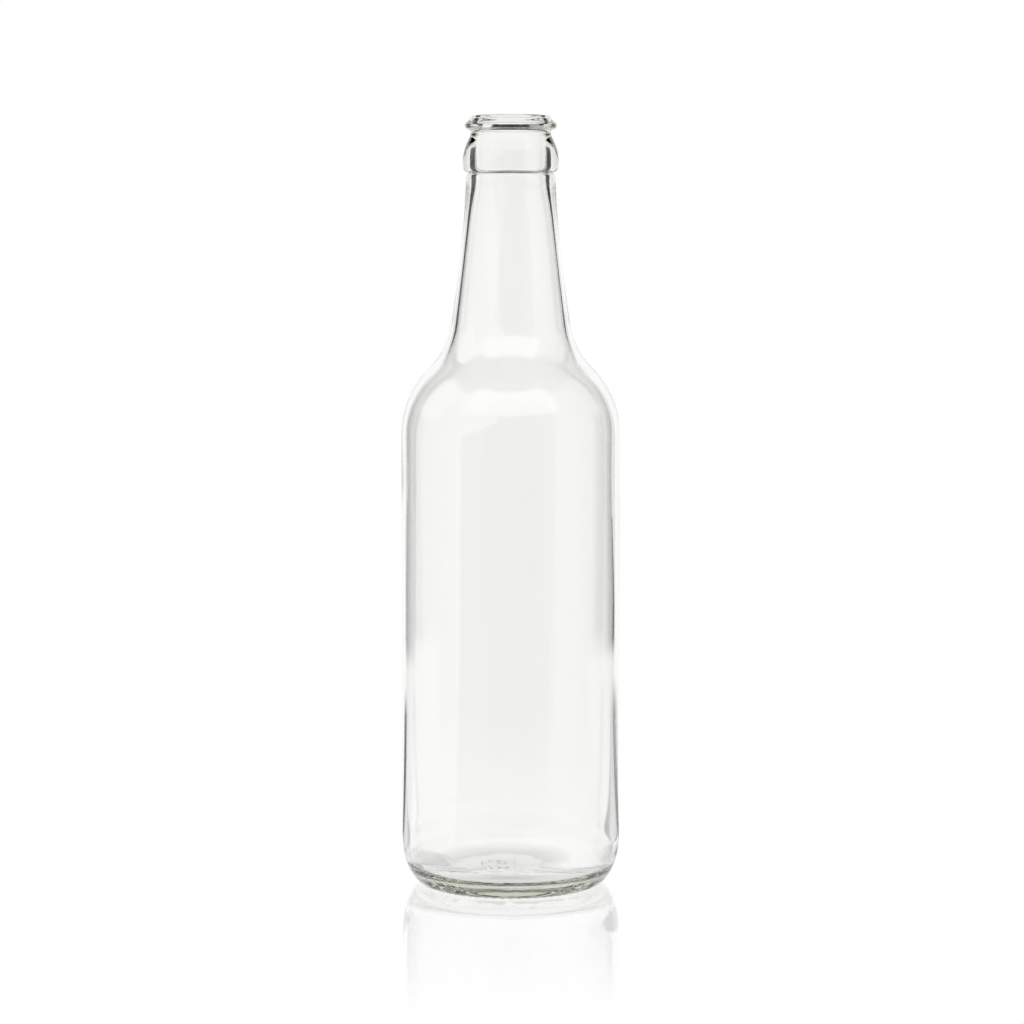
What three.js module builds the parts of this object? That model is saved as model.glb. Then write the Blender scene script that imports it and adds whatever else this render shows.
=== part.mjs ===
// An empty long-neck bottle of clear glass with a crown cap finish, in millimetres, +Z up.
// The bottle is one blown piece, so it is one closed shell turned about the Z axis,
// with its origin at the middle of the ring that it stands on.
import * as THREE from "three";

// Overall sizes
const HEIGHT = 223;
const BODY_RADIUS = 31.7;
const BODY_WALL = 1.75;
const SEGMENTS = 52;

// Base: the ring that it stands on, the push-up inside that ring and the round heel outside it
const BEARING_INNER = 23.8;
const BEARING_OUTER = 25.4;
const PUSH_UP_HEIGHT = 3.5;
const HEEL_HEIGHT = 14;

// Inside of the base: a valley under the wall and a low dome in the middle
const CAVITY_HEEL_HEIGHT = 9.5;
const FLOOR_VALLEY_RADIUS = 22;
const FLOOR_VALLEY_HEIGHT = 3.5;
const FLOOR_DOME_HEIGHT = 5.8;

// Shoulder and the root of the neck
const SHOULDER_HEIGHT = 131;
const SHOULDER_RADIUS = 27.5;
const NECK_ROOT_RADIUS = 17.2;
const NECK_ROOT_HEIGHT = 163;
const NECK_ROOT_TAPER = THREE.MathUtils.degToRad(8);

// Top of the neck and the mould seam groove over it
const NECK_TOP_RADIUS = 12.9;
const NECK_TOP_HEIGHT = 204.8;
const NECK_TOP_TAPER = 0.03;
const SEAM_GROOVE_RADIUS = 12.25;
const SEAM_GROOVE_HEIGHT = 206.2;

// Crown finish: the swelling collar, the undercut, the locking ring and the lip
const COLLAR_RADIUS = 13.78;
const COLLAR_HEIGHT = 208.9;
const UNDERCUT_RADIUS = 11.5;
const UNDERCUT_HEIGHT = 217.8;
const RING_RADIUS = 13.12;
const RING_HEIGHT = 220.2;
const THROAT_RADIUS = 11.54;
const THROAT_HEIGHT = 222;

// Bore of the neck and the finish
const MOUTH_RADIUS = 8.9;
const MOUTH_HEIGHT = 221.2;
const LIP_BORE_RADIUS = 10.1;
const LIP_BORE_HEIGHT = 218.7;
const FINISH_BORE_RADIUS = 10.15;
const FINISH_BORE_HEIGHT = 212.4;
const SEAM_BORE_RADIUS = 10.03;
const SEAM_BORE_HEIGHT = 204.5;
const NECK_BORE_RADIUS = 11.8;
const NECK_BORE_HEIGHT = 194;

const at = (radius, height) => new THREE.Vector2(radius, height);

// A point at an angle on a circle in the plane of the outline.
function onCircle(centre, radius, angle) {
  return at(centre.x + radius * Math.cos(angle), centre.y + radius * Math.sin(angle));
}

// The points of a round stretch, its two ends included.
function arc(centre, radius, from, to, steps) {
  return Array.from({ length: steps + 1 }, (_, i) =>
    onCircle(centre, radius, from + ((to - from) * i) / steps),
  );
}

const bend = (start, pull, end, steps) =>
  new THREE.QuadraticBezierCurve(start, pull, end).getPoints(steps);

const sweep = (start, pullA, pullB, end, steps) =>
  new THREE.CubicBezierCurve(start, pullA, pullB, end).getPoints(steps);

// The shoulder bulges round one centre and runs into the neck round a second centre outside
// the glass. The second radius follows from the neck's root, where both curves end.
const shoulderCentre = at(BODY_RADIUS - SHOULDER_RADIUS, SHOULDER_HEIGHT);
const neckRoot = at(NECK_ROOT_RADIUS, NECK_ROOT_HEIGHT);
const rootNormal = at(Math.cos(NECK_ROOT_TAPER), Math.sin(NECK_ROOT_TAPER));
const toRoot = neckRoot.clone().sub(shoulderCentre);
const filletRadius =
  (toRoot.lengthSq() - SHOULDER_RADIUS ** 2) / (2 * (SHOULDER_RADIUS - toRoot.dot(rootNormal)));
const filletCentre = neckRoot.clone().addScaledVector(rootNormal, filletRadius);
const turn = filletCentre.clone().sub(shoulderCentre).angle();

// The shoulder's outline from the body up to the neck's root, at a depth inside the outer face.
function shoulder(depth, bulgeSteps, filletSteps) {
  return [
    ...arc(shoulderCentre, SHOULDER_RADIUS - depth, 0, turn, bulgeSteps),
    ...arc(
      filletCentre,
      filletRadius + depth,
      Math.PI + turn,
      Math.PI + NECK_ROOT_TAPER,
      filletSteps,
    ),
  ];
}

// The outer face from the ring at the foot up to the neck's root.
function outerBody() {
  return [
    ...sweep(
      at(BEARING_OUTER, 0),
      at(BEARING_OUTER + 2.5, 0.05 * HEEL_HEIGHT),
      at(BODY_RADIUS - 0.1, 0.37 * HEEL_HEIGHT),
      at(BODY_RADIUS, HEEL_HEIGHT),
      6,
    ),
    ...shoulder(0, 7, 5),
  ];
}

// The neck narrows in one long hollow curve, whose two end slopes give its pull point.
function outerNeck() {
  const rootSlope = Math.tan(NECK_ROOT_TAPER) + 0.015;
  const rise = NECK_TOP_HEIGHT - NECK_ROOT_HEIGHT;
  const fall = NECK_ROOT_RADIUS - NECK_TOP_RADIUS;
  const pullRise = (fall - NECK_TOP_TAPER * rise) / (rootSlope - NECK_TOP_TAPER);
  const pull = at(NECK_ROOT_RADIUS - rootSlope * pullRise, NECK_ROOT_HEIGHT + pullRise);
  const top = at(NECK_TOP_RADIUS, NECK_TOP_HEIGHT);
  const groove = at(SEAM_GROOVE_RADIUS, SEAM_GROOVE_HEIGHT);
  return [
    ...bend(neckRoot, pull, top, 4),
    ...bend(top, at(NECK_TOP_RADIUS, SEAM_GROOVE_HEIGHT - 0.2), groove, 2),
  ];
}

// The collar swells over the seam groove and tapers up to the undercut below the locking ring.
function collar() {
  const widest = at(COLLAR_RADIUS, COLLAR_HEIGHT);
  return [
    ...bend(
      at(SEAM_GROOVE_RADIUS, SEAM_GROOVE_HEIGHT + 0.4),
      at(COLLAR_RADIUS, SEAM_GROOVE_HEIGHT + 0.7),
      widest,
      4,
    ),
    ...sweep(
      widest,
      at(COLLAR_RADIUS, COLLAR_HEIGHT + 5.1),
      at(UNDERCUT_RADIUS + 0.6, UNDERCUT_HEIGHT - 2.4),
      at(UNDERCUT_RADIUS, UNDERCUT_HEIGHT),
      6,
    ),
  ];
}

// The crown is crimped under this ring. Over it the throat rises to the rounded lip.
function lockingRing() {
  const under = at(RING_RADIUS - 0.31, RING_HEIGHT - 1.05);
  const over = at(RING_RADIUS - 0.44, RING_HEIGHT + 0.75);
  const throat = at(THROAT_RADIUS, THROAT_HEIGHT);
  const crest = at((THROAT_RADIUS + MOUTH_RADIUS) / 2, HEIGHT);
  return [
    ...bend(at(UNDERCUT_RADIUS, UNDERCUT_HEIGHT), at(UNDERCUT_RADIUS, RING_HEIGHT - 1.4), under, 3),
    ...bend(under, at(RING_RADIUS + 0.5, RING_HEIGHT), over, 4),
    ...bend(over, at(THROAT_RADIUS + 0.5, THROAT_HEIGHT - 0.35), throat, 2),
    ...bend(throat, at(THROAT_RADIUS, HEIGHT), crest, 3),
    ...bend(crest, at(MOUTH_RADIUS, HEIGHT), at(MOUTH_RADIUS, MOUTH_HEIGHT), 3),
  ];
}

// The bore from the mouth down to the neck's root, widest in the collar and narrow at the seam.
function bore() {
  const root = onCircle(filletCentre, filletRadius + BODY_WALL, Math.PI + NECK_ROOT_TAPER);
  return new THREE.SplineCurve([
    at(MOUTH_RADIUS, MOUTH_HEIGHT),
    at(LIP_BORE_RADIUS, LIP_BORE_HEIGHT),
    at(FINISH_BORE_RADIUS, FINISH_BORE_HEIGHT),
    at(SEAM_BORE_RADIUS, SEAM_BORE_HEIGHT),
    at(NECK_BORE_RADIUS, NECK_BORE_HEIGHT),
    root,
  ]).getPoints(13);
}

// The cavity below the neck: shoulder, straight wall, round heel and domed floor.
function cavity() {
  const wall = BODY_RADIUS - BODY_WALL;
  const valley = at(FLOOR_VALLEY_RADIUS, FLOOR_VALLEY_HEIGHT);
  return [
    ...shoulder(BODY_WALL, 5, 4).reverse(),
    ...sweep(
      at(wall, CAVITY_HEEL_HEIGHT),
      at(wall, 0.53 * CAVITY_HEEL_HEIGHT),
      at(FLOOR_VALLEY_RADIUS + 5.2, FLOOR_VALLEY_HEIGHT),
      valley,
      6,
    ),
    ...sweep(
      valley,
      at(0.75 * FLOOR_VALLEY_RADIUS, FLOOR_VALLEY_HEIGHT),
      at(0.4 * FLOOR_VALLEY_RADIUS, FLOOR_DOME_HEIGHT),
      at(0, FLOOR_DOME_HEIGHT),
      4,
    ),
  ];
}

// The underside from its middle out to the ring that it stands on.
function underside() {
  return sweep(
    at(0, PUSH_UP_HEIGHT),
    at(0.45 * BEARING_INNER, PUSH_UP_HEIGHT),
    at(0.75 * BEARING_INNER, 0.2 * PUSH_UP_HEIGHT),
    at(BEARING_INNER, 0),
    5,
  );
}

// The stretches meet end to end, so each shared point is kept once.
function withoutRepeats(points) {
  return points.filter((point, i) => i === 0 || point.distanceTo(points[i - 1]) > 1e-6);
}

const outline = withoutRepeats([
  ...underside(),
  ...outerBody(),
  ...outerNeck(),
  ...collar(),
  ...lockingRing(),
  ...bore(),
  ...cavity(),
]);

const clearGlass = new THREE.MeshStandardMaterial({
  color: 0xeef2f0,
  roughness: 0.03,
  metalness: 0,
  transparent: true,
  opacity: 0.35,
});

const bottle = new THREE.Mesh(new THREE.LatheGeometry(outline, SEGMENTS), clearGlass);
bottle.name = "bottle";
bottle.rotation.x = Math.PI / 2;

const group = new THREE.Group();
group.add(bottle);

export default group;
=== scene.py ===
# %% [markdown]
# # A clear glass bottle with a crown cap finish
#
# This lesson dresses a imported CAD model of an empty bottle. The CAD part gives the size and the place.
# Blender adds what glass needs to look like glass: a smooth skin, an uneven wall, a stippled foot, and
# a studio whose dark edges draw the outline.

import math

import bpy
import numpy as np
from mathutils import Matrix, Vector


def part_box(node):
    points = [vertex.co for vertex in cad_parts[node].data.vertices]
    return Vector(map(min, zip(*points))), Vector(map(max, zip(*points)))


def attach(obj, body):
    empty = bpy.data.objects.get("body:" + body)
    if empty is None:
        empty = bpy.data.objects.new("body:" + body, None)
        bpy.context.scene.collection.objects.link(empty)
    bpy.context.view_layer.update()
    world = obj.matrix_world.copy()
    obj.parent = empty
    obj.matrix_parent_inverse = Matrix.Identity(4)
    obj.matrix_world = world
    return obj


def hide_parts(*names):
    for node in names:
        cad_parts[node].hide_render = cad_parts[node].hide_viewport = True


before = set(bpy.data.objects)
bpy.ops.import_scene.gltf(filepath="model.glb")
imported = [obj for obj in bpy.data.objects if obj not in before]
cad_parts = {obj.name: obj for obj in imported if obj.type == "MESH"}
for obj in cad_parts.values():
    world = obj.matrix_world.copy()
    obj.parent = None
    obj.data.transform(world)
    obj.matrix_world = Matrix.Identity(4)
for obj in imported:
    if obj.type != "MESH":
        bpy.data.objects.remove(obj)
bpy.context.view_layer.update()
_, bottle_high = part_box("bottle")
MM = 0.001
HEIGHT = bottle_high.z
BODY_RADIUS = bottle_high.x
print(f"the bottle is {HEIGHT / MM:.1f} mm high and {2 * BODY_RADIUS / MM:.1f} mm across")

# %% [markdown]
# ## The camera
#
# The photograph looks slightly down on the bottle from almost a metre away, with a long lens, so the body
# hardly tapers. The foot is seen from about twelve degrees above, and the lip is almost level with the lens.
# The camera could be fitted by eye. It is worked out from three things that can be measured in the picture
# instead: the drop of the view, the distance that gives that much perspective, and the size in the frame.

# %% Place the camera
CAMERA_DISTANCE = 925 * MM
CAMERA_HEIGHT = 192.8 * MM
CAMERA_PITCH = math.radians(5.2)
AXIS_OFFSET = 0.35 * MM
PICTURE_SIDE = 1024
FOCAL_PIXELS = 3200

camera_data = bpy.data.cameras.new("camera")
camera_data.sensor_width = 36
camera_data.lens = camera_data.sensor_width * FOCAL_PIXELS / PICTURE_SIDE
camera = bpy.data.objects.new("camera", camera_data)
camera.location = (AXIS_OFFSET, -CAMERA_DISTANCE, CAMERA_HEIGHT)
camera.rotation_euler = (math.pi / 2 - CAMERA_PITCH, 0, 0)
bpy.context.scene.collection.objects.link(camera)
bpy.context.scene.camera = camera
print(f"the lens is {camera_data.lens:.1f} mm")

# %% [markdown]
# ## Node trees as Python
#
# Materials, the studio and the turned mesh are all node trees. Placing nodes one by one reads badly, so a
# small class wraps a socket and lets it be added, multiplied or compared like a number. Any other node
# comes from one method that takes the node's type, its settings and the values or links of its sockets.


# %% A socket that behaves like a number
class Value:
    def __init__(self, tree, socket):
        self.tree = tree
        self.socket = socket

    def _math(self, operation, first, second=0.0):
        return self.tree.node("ShaderNodeMath", {"operation": operation}, [first, second])

    def __add__(self, other):
        return self._math("ADD", self, other)

    def __sub__(self, other):
        return self._math("SUBTRACT", self, other)

    def __mul__(self, other):
        return self._math("MULTIPLY", self, other)

    def __truediv__(self, other):
        return self._math("DIVIDE", self, other)

    def __rsub__(self, other):
        return self._math("SUBTRACT", other, self)

    def __rtruediv__(self, other):
        return self._math("DIVIDE", other, self)

    def __neg__(self):
        return self._math("MULTIPLY", self, -1.0)

    __radd__ = __add__
    __rmul__ = __mul__

    def fn(self, operation, other=0.0):
        """A Math operation that has no sign of its own, such as SINE or MAXIMUM."""
        return self._math(operation, self, other)

    def out(self, name):
        """Another output of the same node."""
        return Value(self.tree, self.socket.node.outputs[name])


# %% A tree that makes nodes
class Tree:
    def __init__(self, node_tree):
        self.node_tree = node_tree

    def node(self, kind, settings=None, values=()):
        """Adds a node. values is a list in socket order, or a dict by socket name or number."""
        made = self.node_tree.nodes.new(kind)
        for name, setting in (settings or {}).items():
            setattr(made, name, setting)
        pairs = values.items() if isinstance(values, dict) else enumerate(values)
        for key, value in pairs:
            self.feed(made.inputs[key], value)
        shown = [s for s in made.outputs if s.enabled]
        return Value(self, shown[0]) if shown else made

    def feed(self, socket, value):
        if isinstance(value, Value):
            self.node_tree.links.new(value.socket, socket)
        elif value is not None:
            socket.default_value = value

    def smooth(self, value, start, end, low=0.0, high=1.0):
        """An eased step from low to high while value goes from start to end."""
        return self.node(
            "ShaderNodeMapRange",
            {"interpolation_type": "SMOOTHSTEP"},
            {"Value": value, "From Min": start, "From Max": end, "To Min": low, "To Max": high},
        )

    def band(self, value, start, end, edge):
        """One inside start to end and zero outside, with soft edges."""
        rise = self.smooth(value, start - edge, start + edge)
        fall = self.smooth(value, end - edge, end + edge)
        return rise * (1.0 - fall)

    def split(self, vector):
        made = self.node("ShaderNodeSeparateXYZ", None, [vector])
        return made, made.out("Y"), made.out("Z")

    def join(self, x, y, z):
        return self.node("ShaderNodeCombineXYZ", None, [x, y, z])


# %% [markdown]
# ## The outline of the glass
#
# A blown bottle is a solid of revolution, so one closed outline says everything about its shape: under the
# base, up the outside, over the lip and down the bore to the floor inside. The stretches below are the
# circles and curves that a mould maker would draw. They follow the CAD model to within a third of a
# millimetre, and the number of points is much higher, because glass shows every facet as a broken
# reflection.

# %% Curves in the plane of the outline
def on_circle(centre, radius, angle):
    return centre + radius * np.array([math.cos(angle), math.sin(angle)])


def arc(centre, radius, start, end, steps):
    return [on_circle(centre, radius, a) for a in np.linspace(start, end, steps + 1)]


def bezier(controls, steps):
    """Points on a Bezier curve of any degree, by repeated blending of its control points."""
    points = []
    for t in np.linspace(0, 1, steps + 1):
        row = [np.array(c, float) for c in controls]
        while len(row) > 1:
            row = [a * (1 - t) + b * t for a, b in zip(row, row[1:])]
        points.append(row[0])
    return points


def spline(knots, steps):
    """A smooth curve through the knots, with the same number of steps between each two."""
    knots = [np.array(k, float) for k in knots]
    ends = [2 * knots[0] - knots[1], *knots, 2 * knots[-1] - knots[-2]]
    points = []
    for a, b, c, d in zip(ends, ends[1:], ends[2:], ends[3:]):
        for t in np.linspace(0, 1, steps, endpoint=False):
            turn = 2 * b + (c - a) * t + (2 * a - 5 * b + 4 * c - d) * t**2
            points.append(0.5 * (turn + (3 * b - a - 3 * c + d) * t**3))
    return [*points, knots[-1]]


# %% Sizes of the glass
BODY_WALL = 1.75 * MM

BEARING_INNER = 23.8 * MM
BEARING_OUTER = 25.4 * MM
PUSH_UP_HEIGHT = 3.5 * MM
HEEL_HEIGHT = 14 * MM

CAVITY_HEEL_HEIGHT = 9.5 * MM
FLOOR_VALLEY_RADIUS = 22 * MM
FLOOR_VALLEY_HEIGHT = 3.5 * MM
FLOOR_DOME_HEIGHT = 5.8 * MM

SHOULDER_HEIGHT = 131 * MM
SHOULDER_RADIUS = 27.5 * MM
NECK_ROOT_RADIUS = 17.2 * MM
NECK_ROOT_HEIGHT = 163 * MM
NECK_ROOT_TAPER = math.radians(8)

NECK_TOP_RADIUS = 12.9 * MM
NECK_TOP_HEIGHT = 204.8 * MM
NECK_TOP_TAPER = 0.03
SEAM_GROOVE_RADIUS = 12.25 * MM
SEAM_GROOVE_HEIGHT = 206.2 * MM

COLLAR_RADIUS = 13.84 * MM
COLLAR_HEIGHT = 209.1 * MM
UNDERCUT_RADIUS = 11.5 * MM
UNDERCUT_HEIGHT = 217.8 * MM
RING_RADIUS = 13.12 * MM
RING_HEIGHT = 220.2 * MM
THROAT_RADIUS = 11.54 * MM
THROAT_HEIGHT = 222 * MM

MOUTH_RADIUS = 8.9 * MM
MOUTH_HEIGHT = 221.2 * MM
LIP_BORE_RADIUS = 10.1 * MM
LIP_BORE_HEIGHT = 218.7 * MM
FINISH_BORE_RADIUS = 10.45 * MM
FINISH_BORE_HEIGHT = 212.4 * MM
SEAM_BORE_RADIUS = 10.2 * MM
SEAM_BORE_HEIGHT = 205 * MM
NECK_BORE_RADIUS = 11.8 * MM
NECK_BORE_HEIGHT = 194 * MM

# %% [markdown]
# The shoulder is two circles that touch. The first bulges out of the body. The second lies outside the
# glass and hollows the shoulder into the neck. Where it must end is known, so its radius follows from
# the condition that the two circles touch.

# %% Shoulder
shoulder_centre = np.array([BODY_RADIUS - SHOULDER_RADIUS, SHOULDER_HEIGHT])
neck_root = np.array([NECK_ROOT_RADIUS, NECK_ROOT_HEIGHT])
root_normal = np.array([math.cos(NECK_ROOT_TAPER), math.sin(NECK_ROOT_TAPER)])
to_root = neck_root - shoulder_centre
fillet_radius = (to_root @ to_root - SHOULDER_RADIUS**2) / (
    2 * (SHOULDER_RADIUS - to_root @ root_normal)
)
fillet_centre = neck_root + fillet_radius * root_normal
turn_angle = math.atan2(*(fillet_centre - shoulder_centre)[::-1])


def shoulder(depth, bulge_steps, fillet_steps):
    """The shoulder from the body up to the neck's root, at a depth inside the outer face."""
    bulge = arc(shoulder_centre, SHOULDER_RADIUS - depth, 0, turn_angle, bulge_steps)
    hollow = arc(
        fillet_centre,
        fillet_radius + depth,
        math.pi + turn_angle,
        math.pi + NECK_ROOT_TAPER,
        fillet_steps,
    )
    return [*bulge, *hollow]


print(f"the shoulder turns at {math.degrees(turn_angle):.1f} degrees into a hollow "
      f"of radius {fillet_radius / MM:.1f} mm")


# %% Underside, foot and outer wall
def underside():
    return bezier(
        [
            (0, PUSH_UP_HEIGHT),
            (0.45 * BEARING_INNER, PUSH_UP_HEIGHT),
            (0.75 * BEARING_INNER, 0.2 * PUSH_UP_HEIGHT),
            (BEARING_INNER, 0),
        ],
        60,
    )


def foot_ring():
    return bezier([(BEARING_INNER, 0), (BEARING_OUTER, 0)], 6)


def outer_body():
    heel = bezier(
        [
            (BEARING_OUTER, 0),
            (BEARING_OUTER + 2.5 * MM, 0.05 * HEEL_HEIGHT),
            (BODY_RADIUS - 0.1 * MM, 0.37 * HEEL_HEIGHT),
            (BODY_RADIUS, HEEL_HEIGHT),
        ],
        60,
    )
    wall = bezier([(BODY_RADIUS, HEEL_HEIGHT), (BODY_RADIUS, SHOULDER_HEIGHT)], 18)
    return [*heel, *wall, *shoulder(0, 90, 70)]


# %% Neck, collar, locking ring and lip
def outer_neck():
    root_slope = math.tan(NECK_ROOT_TAPER) + 0.015
    rise = NECK_TOP_HEIGHT - NECK_ROOT_HEIGHT
    fall = NECK_ROOT_RADIUS - NECK_TOP_RADIUS
    pull_rise = (fall - NECK_TOP_TAPER * rise) / (root_slope - NECK_TOP_TAPER)
    pull = (NECK_ROOT_RADIUS - root_slope * pull_rise, NECK_ROOT_HEIGHT + pull_rise)
    top = (NECK_TOP_RADIUS, NECK_TOP_HEIGHT)
    groove = (SEAM_GROOVE_RADIUS, SEAM_GROOVE_HEIGHT)
    corner = (NECK_TOP_RADIUS, SEAM_GROOVE_HEIGHT - 0.2 * MM)
    return [*bezier([neck_root, pull, top], 60), *bezier([top, corner, groove], 24)]


def collar():
    foot = (SEAM_GROOVE_RADIUS, SEAM_GROOVE_HEIGHT + 0.4 * MM)
    widest = (COLLAR_RADIUS, COLLAR_HEIGHT)
    swell = bezier([foot, (COLLAR_RADIUS, SEAM_GROOVE_HEIGHT + 0.7 * MM), widest], 40)
    taper = bezier(
        [
            widest,
            (COLLAR_RADIUS, COLLAR_HEIGHT + 5.1 * MM),
            (UNDERCUT_RADIUS + 0.6 * MM, UNDERCUT_HEIGHT - 2.4 * MM),
            (UNDERCUT_RADIUS, UNDERCUT_HEIGHT),
        ],
        60,
    )
    return [*swell, *taper]


def locking_ring():
    undercut = (UNDERCUT_RADIUS, UNDERCUT_HEIGHT)
    under = (RING_RADIUS - 0.31 * MM, RING_HEIGHT - 1.05 * MM)
    over = (RING_RADIUS - 0.44 * MM, RING_HEIGHT + 0.75 * MM)
    throat = (THROAT_RADIUS, THROAT_HEIGHT)
    crest = ((THROAT_RADIUS + MOUTH_RADIUS) / 2, HEIGHT)
    mouth = (MOUTH_RADIUS, MOUTH_HEIGHT)
    return [
        *bezier([undercut, (UNDERCUT_RADIUS, RING_HEIGHT - 1.4 * MM), under], 30),
        *bezier([under, (RING_RADIUS + 0.5 * MM, RING_HEIGHT), over], 40),
        *bezier([over, (THROAT_RADIUS + 0.5 * MM, THROAT_HEIGHT - 0.35 * MM), throat], 24),
        *bezier([throat, (THROAT_RADIUS, HEIGHT), crest], 36),
        *bezier([crest, (MOUTH_RADIUS, HEIGHT), mouth], 36),
    ]


# %% Bore, cavity and floor
def bore():
    root = on_circle(fillet_centre, fillet_radius + BODY_WALL, math.pi + NECK_ROOT_TAPER)
    return spline(
        [
            (MOUTH_RADIUS, MOUTH_HEIGHT),
            (LIP_BORE_RADIUS, LIP_BORE_HEIGHT),
            (FINISH_BORE_RADIUS, FINISH_BORE_HEIGHT),
            (SEAM_BORE_RADIUS, SEAM_BORE_HEIGHT),
            (NECK_BORE_RADIUS, NECK_BORE_HEIGHT),
            root,
        ],
        40,
    )


def cavity():
    wall = BODY_RADIUS - BODY_WALL
    valley = (FLOOR_VALLEY_RADIUS, FLOOR_VALLEY_HEIGHT)
    upright = bezier([(wall, SHOULDER_HEIGHT), (wall, CAVITY_HEEL_HEIGHT)], 18)
    heel = bezier(
        [
            (wall, CAVITY_HEEL_HEIGHT),
            (wall, 0.53 * CAVITY_HEEL_HEIGHT),
            (FLOOR_VALLEY_RADIUS + 5.2 * MM, FLOOR_VALLEY_HEIGHT),
            valley,
        ],
        60,
    )
    floor = bezier(
        [
            valley,
            (0.75 * FLOOR_VALLEY_RADIUS, FLOOR_VALLEY_HEIGHT),
            (0.4 * FLOOR_VALLEY_RADIUS, FLOOR_DOME_HEIGHT),
            (0, FLOOR_DOME_HEIGHT),
        ],
        40,
    )
    return [*shoulder(BODY_WALL, 90, 60)[::-1], *upright, *heel, *floor]


# %% [markdown]
# Smooth shading averages the faces that meet at a point, so a long face beside a tight bend would bend the
# light along its whole length. The outline is therefore drawn finely and then given new points: close
# together where it turns fast, further apart where it runs straight, and never with a sudden change.


# %% Space the points by how fast the outline turns
FINEST = 0.05 * MM
COARSEST = 4 * MM
TURN_PER_POINT = math.radians(4.2)
SPACING_GROWTH = 0.35


def evenly_turned(points):
    path = np.array(points)
    path = path[np.r_[True, np.hypot(*np.diff(path, axis=0).T) > 1e-8]]
    step = np.diff(path, axis=0)
    length = np.hypot(*step.T)
    along = np.r_[0, np.cumsum(length)]
    turn = np.abs(np.diff(np.unwrap(np.arctan2(step[:, 1], step[:, 0]))))
    wanted = np.full(len(path), COARSEST)
    share = (length[:-1] + length[1:]) / 2
    wanted[1:-1] = np.clip(TURN_PER_POINT * share / np.maximum(turn, 1e-9), FINEST, COARSEST)
    ruler = np.arange(0, along[-1], FINEST / 2)
    spacing = np.interp(ruler, along, wanted)
    for i in range(1, len(path) - 1):
        near = slice(*np.searchsorted(ruler, [along[i - 1], along[i + 1]]))
        spacing[near] = np.minimum(spacing[near], wanted[i])
    growth = SPACING_GROWTH * FINEST / 2
    for i in range(1, len(spacing)):
        spacing[i] = min(spacing[i], spacing[i - 1] + growth)
    for i in range(len(spacing) - 2, -1, -1):
        spacing[i] = min(spacing[i], spacing[i + 1] + growth)
    count = np.r_[0, np.cumsum(np.diff(ruler) / spacing[:-1])]
    places = np.interp(np.linspace(0, count[-1], math.ceil(count[-1]) + 1), count, ruler)
    places[-1] = along[-1]
    return [tuple(np.array([np.interp(v, along, path[:, k]) for k in (0, 1)])) for v in places]


# %% [markdown]
# Two marks travel with each point of the outline. `inside` is one on the faces that the mould never
# touched, which are less even. `foot` is one on the ring that the bottle stands on, which is stippled.

# %% Join the stretches and mark them
SAME_POINT = 1e-3 * MM
FOOT_TOP = 0.3 * MM
FOOT_MARGIN = 1 * MM

outline = []
for stretches, inside in (
    ([underside(), foot_ring(), outer_body(), outer_neck(), collar(), locking_ring()], 0),
    ([bore(), cavity()], 1),
):
    for r, z in evenly_turned([p for stretch in stretches for p in stretch]):
        if outline and math.hypot(r - outline[-1][0], z - outline[-1][1]) < SAME_POINT:
            continue
        on_ring = BEARING_INNER - FOOT_MARGIN < r < BEARING_OUTER + FOOT_MARGIN
        outline.append((r, z, inside, float(not inside and z < FOOT_TOP and on_ring)))
print(f"the outline has {len(outline)} points")

# %% [markdown]
# ## Turning the outline with Geometry Nodes
#
# Spin or a Screw modifier would turn the outline too. A Geometry Nodes tree is used because the same tree
# can then do what a real mould and a real gob of glass do: it stipples the foot a whole number of times
# round, lets the hollow drift to one side, and ripples the walls. It starts from a flat grid, bends the
# grid round the axis, and merges the seam and the two poles, so the result is one closed skin.

# %% The outline as a chain of points
def outline_mesh():
    mesh = bpy.data.meshes.new("outline")
    mesh.from_pydata([(r, 0, z) for r, z, _, _ in outline], [], [])
    for name, column in (("inside", 2), ("foot", 3)):
        mark = mesh.attributes.new(name, "FLOAT", "POINT")
        mark.data.foreach_set("value", [float(row[column]) for row in outline])
    return mesh


# %% The tree that turns it
WALL_FADE_IN = (5 * MM, 14 * MM)
WALL_FADE_OUT = (120 * MM, 160 * MM)
TURNING_INPUTS = {
    "Segments": ("NodeSocketInt", 198),
    "Stipples": ("NodeSocketInt", 66),
    "Stipple Depth": ("NodeSocketFloat", 0.3 * MM),
    "Drift": ("NodeSocketFloat", 0.45 * MM),
    "Inside Ripple": ("NodeSocketFloat", 0.25 * MM),
    "Outside Ripple": ("NodeSocketFloat", 0.04 * MM),
    "Seed": ("NodeSocketFloat", 4.0),
    "Material": ("NodeSocketMaterial", None),
}


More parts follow.
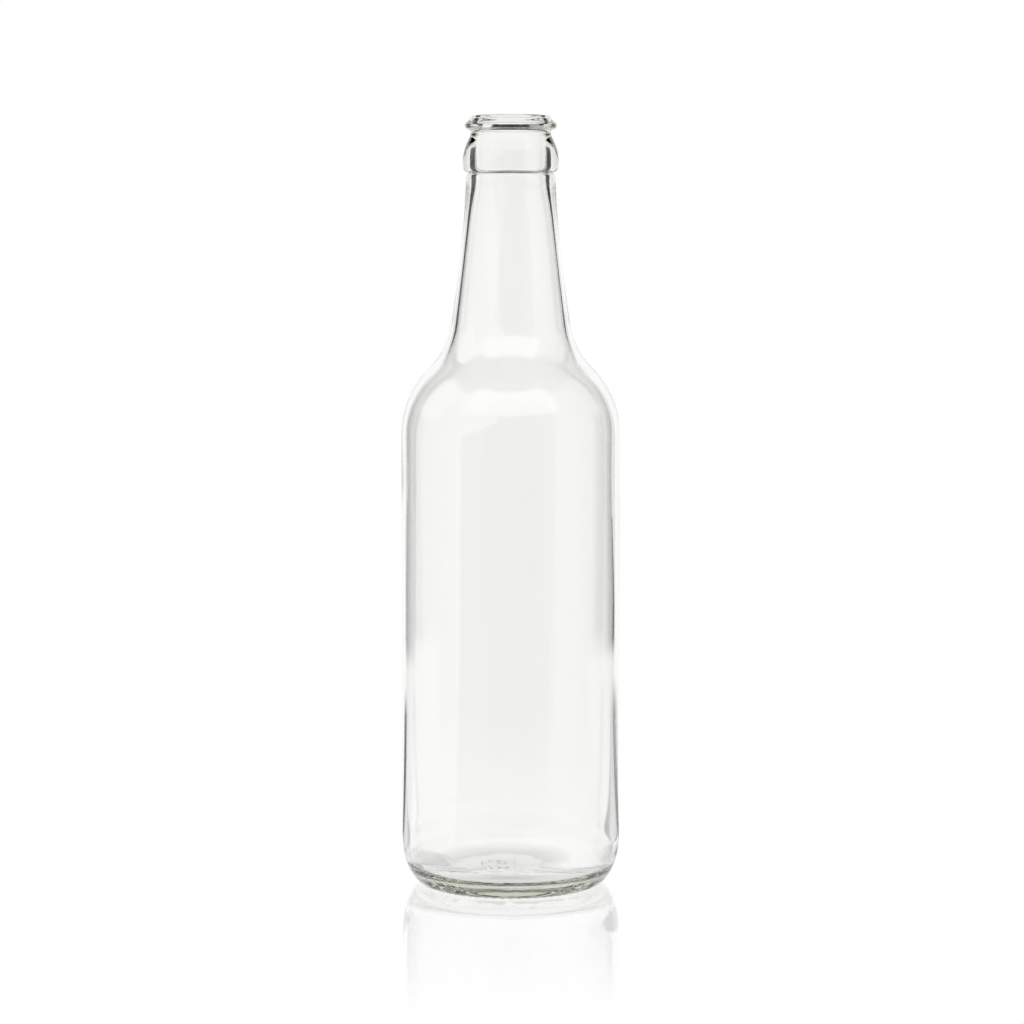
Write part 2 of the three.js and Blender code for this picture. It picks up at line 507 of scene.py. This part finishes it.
def turning_tree():
    group = bpy.data.node_groups.new("turned glass", "GeometryNodeTree")
    face = group.interface
    face.new_socket("Geometry", in_out="INPUT", socket_type="NodeSocketGeometry")
    for name, (kind, default) in TURNING_INPUTS.items():
        socket = face.new_socket(name, in_out="INPUT", socket_type=kind)
        if default is not None:
            socket.default_value = default
    face.new_socket("Geometry", in_out="OUTPUT", socket_type="NodeSocketGeometry")

    tree = Tree(group)
    given = tree.node("NodeGroupInput")
    count = len(outline)
    grid = tree.node(
        "GeometryNodeMeshGrid",
        None,
        {"Size X": 1.0, "Size Y": 1.0, "Vertices X": given.out("Segments") + 1, "Vertices Y": count},
    )
    along, across, _ = tree.split(tree.node("GeometryNodeInputPosition"))
    angle = (along + 0.5) * (2 * math.pi)
    row = ((across + 0.5) * (count - 1)).fn("ROUND")

    def from_outline(kind, value):
        return tree.node(
            "GeometryNodeSampleIndex",
            {"data_type": kind, "domain": "POINT"},
            {"Geometry": given.out("Geometry"), "Value": value, "Index": row},
        )

    place = from_outline("FLOAT_VECTOR", tree.node("GeometryNodeInputPosition"))
    radius, _, height = tree.split(place)
    turned = tree.join(radius * angle.fn("COSINE"), radius * angle.fn("SINE"), height)
    skin = tree.node("GeometryNodeSetPosition", None, {"Geometry": grid, "Position": turned})
    marks = {"Angle": angle}
    for name in ("inside", "foot"):
        named = tree.node("GeometryNodeInputNamedAttribute", {"data_type": "FLOAT"}, {"Name": name})
        marks[name] = from_outline("FLOAT", named)
    # The marks are read from the flat grid, so they are stored before the grid is bent.
    stored = grid
    for name, value in marks.items():
        stored = tree.node(
            "GeometryNodeStoreNamedAttribute",
            {"data_type": "FLOAT", "domain": "POINT"},
            {"Geometry": stored, "Name": name, "Value": value},
        )
    tree.feed(skin.socket.node.inputs["Geometry"], stored)
    closed = tree.node("GeometryNodeMergeByDistance", None, {"Geometry": skin, "Distance": SAME_POINT})

    def mark(name):
        return tree.node("GeometryNodeInputNamedAttribute", {"data_type": "FLOAT"}, {"Name": name})

    # What the glass does by itself: a slow noise in space, so that it closes on itself round the axis.
    spot = tree.node("GeometryNodeInputPosition")
    x, y, z = tree.split(spot)
    reach = (x * x + y * y).fn("SQRT").fn("MAXIMUM", 0.1 * MM)
    outward = tree.join(x / reach, y / reach, 0.0)

    def noise(scale, seed_step, stretch):
        where = tree.join(x, y, z * stretch)
        return tree.node(
            "ShaderNodeTexNoise",
            {"noise_dimensions": "4D"},
            {"Vector": where, "W": given.out("Seed") + seed_step, "Scale": scale, "Detail": 1.0},
        ) - 0.5

    inside_mark = mark("inside")
    wall = tree.smooth(z, *WALL_FADE_IN) * (1.0 - tree.smooth(z, *WALL_FADE_OUT))
    inner = noise(scale=30.0, seed_step=0.0, stretch=0.5) * given.out("Inside Ripple")
    outer = noise(scale=45.0, seed_step=7.0, stretch=0.3) * given.out("Outside Ripple")
    bumps = (inner * inside_mark + outer * (1.0 - inside_mark)) * 2.0
    rippled = tree.node(
        "ShaderNodeVectorMath", {"operation": "SCALE"}, {0: outward, "Scale": bumps * wall}
    )
    drift = tree.join(-given.out("Drift") * inside_mark * wall, 0.0, 0.0)
    moved = tree.node("ShaderNodeVectorMath", {"operation": "ADD"}, [rippled, drift])

    # The stipple: bumps as tall as the ring with small valleys between them.
    round_angle = mark("Angle")
    wave = (round_angle * given.out("Stipples")).fn("COSINE")
    valley = tree.smooth(wave, 0.2, 0.9) * mark("foot") * given.out("Stipple Depth")
    lifted = tree.node(
        "ShaderNodeVectorMath", {"operation": "ADD"}, [moved, tree.join(0.0, 0.0, valley)]
    )
    formed = tree.node("GeometryNodeSetPosition", None, {"Geometry": closed, "Offset": lifted})
    smooth = tree.node("GeometryNodeSetShadeSmooth", None, {"Geometry": formed})
    real = tree.node("GeometryNodeRealizeInstances", None, {"Geometry": smooth})
    painted = tree.node(
        "GeometryNodeSetMaterial", None, {"Geometry": real, "Material": given.out("Material")}
    )
    result = tree.node("NodeGroupOutput")
    tree.feed(result.inputs["Geometry"], painted)
    return group


# %% [markdown]
# ## The glass itself
#
# Bottle glass is soda-lime glass, with an index of 1.52 and an olive-grey tint that shows where light
# runs a long way inside it, as in the foot. The tint is set a little stronger than in real clear glass,
# which brings the foot nearer to the dark one in the photograph. The index, the tint and its density are
# the same all over, so they sit on the shader's own sockets. Only the roughness and the bump change from
# place to place: the bands that rub on other bottles are scuffed, and the skin of the foot is wavy.

# %% Clear bottle glass
WHITE = (1.0, 1.0, 1.0, 1.0)
BLACK = (0.0, 0.0, 0.0, 1.0)
INDEX = 1.52
TINT = (0.62, 0.65, 0.5, 1.0)
TINT_DENSITY = 24.0
RUBBED_BANDS = ((17 * MM, 24 * MM), (124 * MM, 130 * MM))
RUBBED_EDGE = 4 * MM
SCUFFED = 0.12
CHILLED_FADE = (7 * MM, 15 * MM)
WAVE_HEIGHT = 0.12 * MM
GRAIN_HEIGHT = 0.012 * MM


def clear_glass():
    material = bpy.data.materials.new("clear_glass")
    material.use_nodes = True
    tree = Tree(material.node_tree)
    tree.node_tree.nodes.clear()
    spot = tree.node("ShaderNodeTexCoord").out("Object")
    _, _, z = tree.split(spot)
    speck = tree.node("ShaderNodeTexNoise", None, {"Vector": spot, "Scale": 900.0, "Detail": 3.0})
    patch = tree.node("ShaderNodeTexNoise", None, {"Vector": spot, "Scale": 60.0, "Detail": 2.0})
    low, high = (tree.band(z, start, end, RUBBED_EDGE) for start, end in RUBBED_BANDS)
    rubbed = low + high
    scuff = rubbed * tree.smooth(speck, 0.62, 0.72) * tree.smooth(patch, 0.5, 0.62)
    # The glass chills first at the foot, so the skin there is wavy. Higher up it is even.
    chilled = 1.0 - tree.smooth(z, *CHILLED_FADE)
    waves = tree.node("ShaderNodeTexNoise", None, {"Vector": spot, "Scale": 160.0, "Detail": 2.0})
    grain = tree.node("ShaderNodeTexNoise", None, {"Vector": spot, "Scale": 700.0, "Detail": 1.0})
    relief = (waves * WAVE_HEIGHT + grain * GRAIN_HEIGHT) * chilled
    skin = tree.node("ShaderNodeBump", None, {"Strength": 1.0, "Distance": 1.0, "Height": relief})
    shader = tree.node(
        "ShaderNodeBsdfPrincipled",
        None,
        {
            "Base Color": WHITE,
            "Roughness": scuff * SCUFFED,
            "Normal": skin,
            "IOR": INDEX,
            "Transmission Weight": 1.0,
        },
    )
    tint = tree.node("ShaderNodeVolumeAbsorption", None, {"Color": TINT, "Density": TINT_DENSITY})
    output = tree.node("ShaderNodeOutputMaterial")
    tree.feed(output.inputs["Surface"], shader)
    tree.feed(output.inputs["Volume"], tint)
    return material


glass = clear_glass()

# %% [markdown]
# The modifier's material input is set by its socket's identifier, before the object is evaluated for the
# first time. The evaluated result is then kept as a plain mesh, and the modifier goes.


# %% Make the bottle
def make_bottle():
    source = bpy.data.objects.new("outline", outline_mesh())
    bpy.context.scene.collection.objects.link(source)
    modifier = source.modifiers.new("turn", "NODES")
    modifier.node_group = turning_tree()
    for item in modifier.node_group.interface.items_tree:
        if item.in_out == "INPUT" and item.name == "Material":
            modifier[item.identifier] = glass
    graph = bpy.context.evaluated_depsgraph_get()
    mesh = bpy.data.meshes.new_from_object(source.evaluated_get(graph))
    source.modifiers.clear()
    bpy.data.objects.remove(source)
    mesh.name = "clear_bottle"
    made = bpy.data.objects.new("clear_bottle", mesh)
    bpy.context.scene.collection.objects.link(made)
    return made


bottle = make_bottle()
triangles = sum(len(p.vertices) - 2 for p in bottle.data.polygons)
print(f"the bottle has {triangles} triangles")


# %% Check that the skin faces outwards, and turn it if not
def signed_volume(mesh):
    total = 0.0
    points = [v.co for v in mesh.vertices]
    for polygon in mesh.polygons:
        corners = [points[i] for i in polygon.vertices]
        for b, c in zip(corners[1:], corners[2:]):
            total += corners[0].dot(b.cross(c)) / 6
    return total


volume = signed_volume(bottle.data)
if volume < 0:
    bottle.data.flip_normals()
print(f"the glass is {abs(volume) * 1e6:.1f} cm3")

# %% The bottle stands for the CAD solid
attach(bottle, "root")
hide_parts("bottle")

# %% [markdown]
# ## The studio
#
# Clear glass has no colour of its own. What is seen is the room, bent. The photograph is a bright field
# picture: a white sheet right behind the bottle, and darkness just beyond the sheet on both sides, which
# the thick edges of the glass pick up as thin black lines. A soft light stands on the left, and shows as
# a straight bright band down the bottle. The sheet ends a little over the bottle, and the dark over it
# draws the lip and the foot. Another light hangs over the front. All of it is painted into the world by
# direction.

# %% How bright each side of the room is
# Angles are in degrees round the bottle. Zero is straight behind it, and negative is on the left.
# Each row is what starts there, where the change begins and ends, and the brightness after it.
FRONT_LIGHT = 0.32
SIDES = (
    ("softbox", -128, -125, 0.94),
    ("left wall", -63, -58, 0.0),
    ("sheet", -36, -32, 1.0),
    ("right wall", 36, 40, 0.0),
    ("right side", 56, 62, 0.4),
    ("fill", 96, 108, 0.5),
    ("front", 145, 155, FRONT_LIGHT),
)


def by_side(tree, angle, lean=0.0):
    """The brightness of the room by the angle round the bottle, as a stair with soft edges.

    lean turns the first edge of the softbox further round to the front.
    """
    light = FRONT_LIGHT
    before = FRONT_LIGHT
    for name, start, end, after in SIDES:
        turned = angle + lean if name == "softbox" else angle
        light = light + tree.smooth(turned, start, end) * (after - before)
        before = after
    return light


# Heights are in degrees over the foot. The softbox leans, so it reaches further round higher up.
SOFTBOX_LEAN = (-2.0, 22.0, 0.0, 40.0)
OVERHEAD_START = (26.0, 30.0)
OVERHEAD_LIGHT = 1.3
CEILING_START = (46.0, 52.0)
CEILING_LIGHT = 0.02
CEILING_LIFT_IN_FRONT = 10.0
CEILING_DROP_BEHIND = 22.0


# %% The world
def studio():
    world = bpy.data.worlds.new("studio")
    bpy.context.scene.world = world
    world.use_nodes = True
    tree = Tree(world.node_tree)
    tree.node_tree.nodes.clear()
    x, y, z = tree.split(tree.node("ShaderNodeTexCoord").out("Generated"))
    level = (x * x + y * y).fn("SQRT")
    angle = x.fn("ARCTAN2", y) * (180 / math.pi)
    height = z.fn("ARCTAN2", level) * (180 / math.pi)
    side = angle.fn("ABSOLUTE")
    sides = by_side(tree, angle, tree.smooth(height, *SOFTBOX_LEAN))
    in_front = tree.smooth(side, 112.0, 130.0)
    behind = 1.0 - tree.smooth(side, 50.0, 70.0)
    overhead = tree.smooth(height, *OVERHEAD_START) * in_front
    moved = height - in_front * CEILING_LIFT_IN_FRONT + behind * CEILING_DROP_BEHIND
    ceiling = tree.smooth(moved, *CEILING_START)
    light = sides * (1.0 - overhead) + overhead * OVERHEAD_LIGHT
    light = light * (1.0 - ceiling) + ceiling * CEILING_LIGHT
    seen = tree.node("ShaderNodeLightPath").out("Is Camera Ray")
    strength = seen + (1.0 - seen) * light
    background = tree.node(
        "ShaderNodeBackground", None, {"Color": WHITE, "Strength": strength}
    )
    output = tree.node("ShaderNodeOutputWorld")
    tree.feed(output.inputs["Surface"], background)
    return world


studio()


# %% [markdown]
# The floor is a sheet of white acrylic. It glows as white as the sheet behind, and its
# polish gives the faint mirror image under the foot. What the bottle itself picks up from the floor is
# painted into that glow: a painted shadow under the foot, the acrylic's own white near the foot and a
# painted reflection of the room further out. Two dark wedges behind the bottle, one on each side, are a
# painted reflection of the dark studio that the camera doesn't see. They draw the dark edges of the lower
# body.


# %% White floor
FLOOR_RADIUS = 1.2
# Each row is where a change begins and ends, and the value before and after it.
POLISH = (-170 * MM, -60 * MM, 0.0, 0.3)
# Painted shadow: the floor's glow is dimmed under the foot, as if the bottle shaded it.
PAINTED_SHADOW_UNDER_FOOT = (27 * MM, 45 * MM, 0.85, 1.0)
WHITE_IN_FRONT = (30 * MM, 300 * MM, 0.8, 0.0)
WHITE_BEHIND = (480 * MM, 570 * MM, 0.8, 0.0)
# Two dark wedges in the floor's glow behind the bottle: a painted reflection of the dark studio.
PAINTED_DARK_ANGLES = (29.5, 39.0, 1.5)
PAINTED_DARK_START = (60 * MM, 90 * MM)
PAINTED_DARK_END = (320 * MM, 440 * MM, 0.85, 0.0)


def white_floor():
    bpy.ops.mesh.primitive_circle_add(vertices=96, radius=FLOOR_RADIUS, fill_type="NGON")
    floor = bpy.context.object
    floor.name = "floor"
    material = bpy.data.materials.new("white acrylic")
    material.use_nodes = True
    tree = Tree(material.node_tree)
    tree.node_tree.nodes.clear()
    x, y, _ = tree.split(tree.node("ShaderNodeNewGeometry").out("Position"))
    reach = (x * x + y * y).fn("SQRT")
    angle = x.fn("ARCTAN2", y) * (180 / math.pi)
    seen = tree.node("ShaderNodeLightPath").out("Is Camera Ray")
    polish = tree.smooth(y, *POLISH)
    # Painted shadow: what the glass sees of the floor is dimmed to 0.85 under the foot.
    near = tree.smooth(reach, *PAINTED_SHADOW_UNDER_FOOT)
    behind = tree.smooth(y, -50 * MM, 50 * MM)
    white_in_front = tree.smooth(reach, *WHITE_IN_FRONT) * (1.0 - behind)
    own_white = white_in_front + tree.smooth(reach, *WHITE_BEHIND) * behind
    # Painted reflection of the dark studio: two dark wedges in the glow, one on each side behind the bottle.
    painted_dark_patch = tree.band(angle.fn("ABSOLUTE"), *PAINTED_DARK_ANGLES) * tree.smooth(reach, *PAINTED_DARK_START)
    painted_dark_patch = painted_dark_patch * tree.smooth(reach, *PAINTED_DARK_END)
    # What the glass sees of the floor: a painted shadow under the foot, plain white near the foot and a
    # painted reflection of the room by side further out, less the painted dark wedges.
    lit = near * (own_white + (1.0 - own_white) * by_side(tree, angle)) * (1.0 - painted_dark_patch)
    strength = seen * (1.0 - polish) + (1.0 - seen) * lit
    own = tree.node("ShaderNodeEmission", None, {"Color": WHITE, "Strength": strength})
    mirror = tree.node("ShaderNodeBsdfGlossy", None, {"Color": WHITE, "Roughness": 0.0})
    dark = tree.node("ShaderNodeEmission", None, {"Color": BLACK, "Strength": 0.0})
    gloss = tree.node("ShaderNodeMixShader", None, [seen * polish, dark, mirror])
    both = tree.node("ShaderNodeAddShader", None, [own, gloss])
    output = tree.node("ShaderNodeOutputMaterial")
    tree.feed(output.inputs["Surface"], both)
    floor.data.materials.append(material)
    return floor


floor = white_floor()

# %% Colours and light paths
scene = bpy.context.scene
scene.view_settings.view_transform = "Standard"
scene.cycles.max_bounces = 32
scene.cycles.transmission_bounces = 32
scene.cycles.glossy_bounces = 16
scene.cycles.transparent_max_bounces = 16
